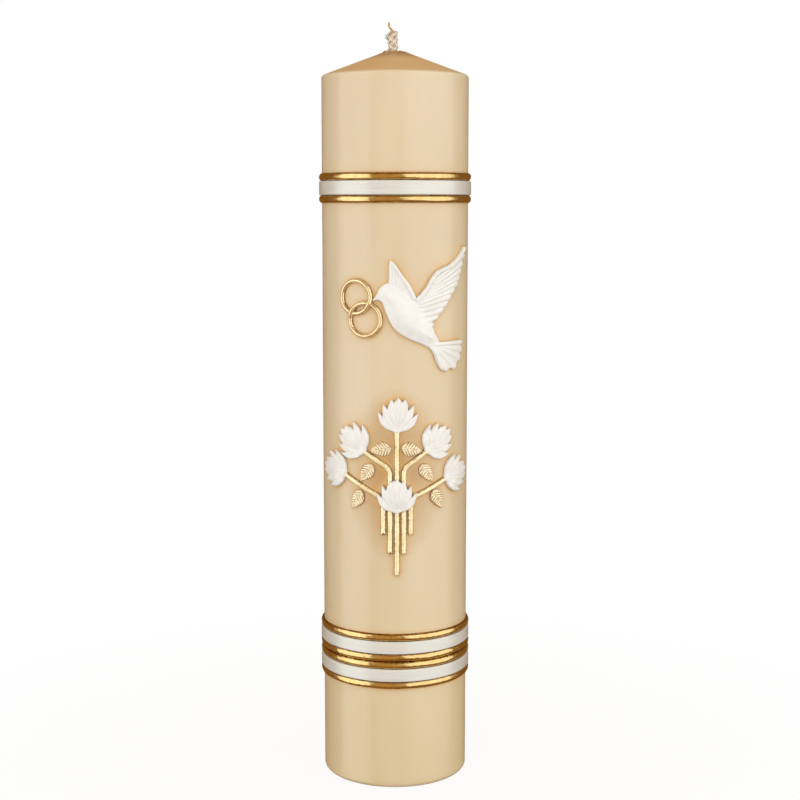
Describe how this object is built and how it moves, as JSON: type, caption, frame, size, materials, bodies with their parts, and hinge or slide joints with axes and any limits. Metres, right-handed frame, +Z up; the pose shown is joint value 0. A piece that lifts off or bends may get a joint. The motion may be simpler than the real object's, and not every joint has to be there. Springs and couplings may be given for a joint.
{
  "type": "unity candle",
  "caption": "Tall ivory wax pillar with a coned top, cotton wick, gold-and-pearl trim rings and pressed-on wax lilies, leaves, linked rings and a dove.",
  "frame": {"origin": "centre of the candle's foot, on the surface that it stands on", "axes": "+Z up along the candle; -Y is the decorated front; +X is to the right when it is seen from the front"},
  "size_m": [0.0792, 0.0813, 0.396],
  "materials": {
    "ivory_wax": "smooth translucent pearl-ivory wax with a soft satin sheen",
    "cotton_wick": "braided cotton, waxed",
    "pearl_band": "pearl-white wax strip with fine drawn lines",
    "gold_wax": "gold-foil-faced wax, metallic, slightly wrinkled",
    "pearl_white_wax": "moulded white wax with a pearl sheen"
  },
  "bodies": {
    "root": {"wax_body": "ivory_wax", "wick": "cotton_wick", "upper_band": "pearl_band", "lower_band_bottom": "pearl_band", "lower_band_top": "pearl_band", "upper_bead_bottom": "gold_wax", "upper_bead_top": "gold_wax", "lower_bead_bottom": "gold_wax", "lower_bead_mid_bottom": "gold_wax", "lower_bead_mid_top": "gold_wax", "lower_bead_top": "gold_wax", "stem_outer_left": "gold_wax", "stem_inner_left": "gold_wax", "stem_centre": "gold_wax", "stem_inner_right": "gold_wax", "stem_outer_right": "gold_wax", "leaf_top_left": "gold_wax", "leaf_top_right": "gold_wax", "leaf_middle_left": "gold_wax", "leaf_middle_right": "gold_wax", "leaf_lower_left": "gold_wax", "leaf_lower_right": "gold_wax", "wedding_rings": "gold_wax", "flower_top": "pearl_white_wax", "flower_upper_left": "pearl_white_wax", "flower_upper_right": "pearl_white_wax", "flower_far_left": "pearl_white_wax", "flower_far_right": "pearl_white_wax", "flower_bottom": "pearl_white_wax", "dove": "pearl_white_wax"}
  },
  "joints": []
}
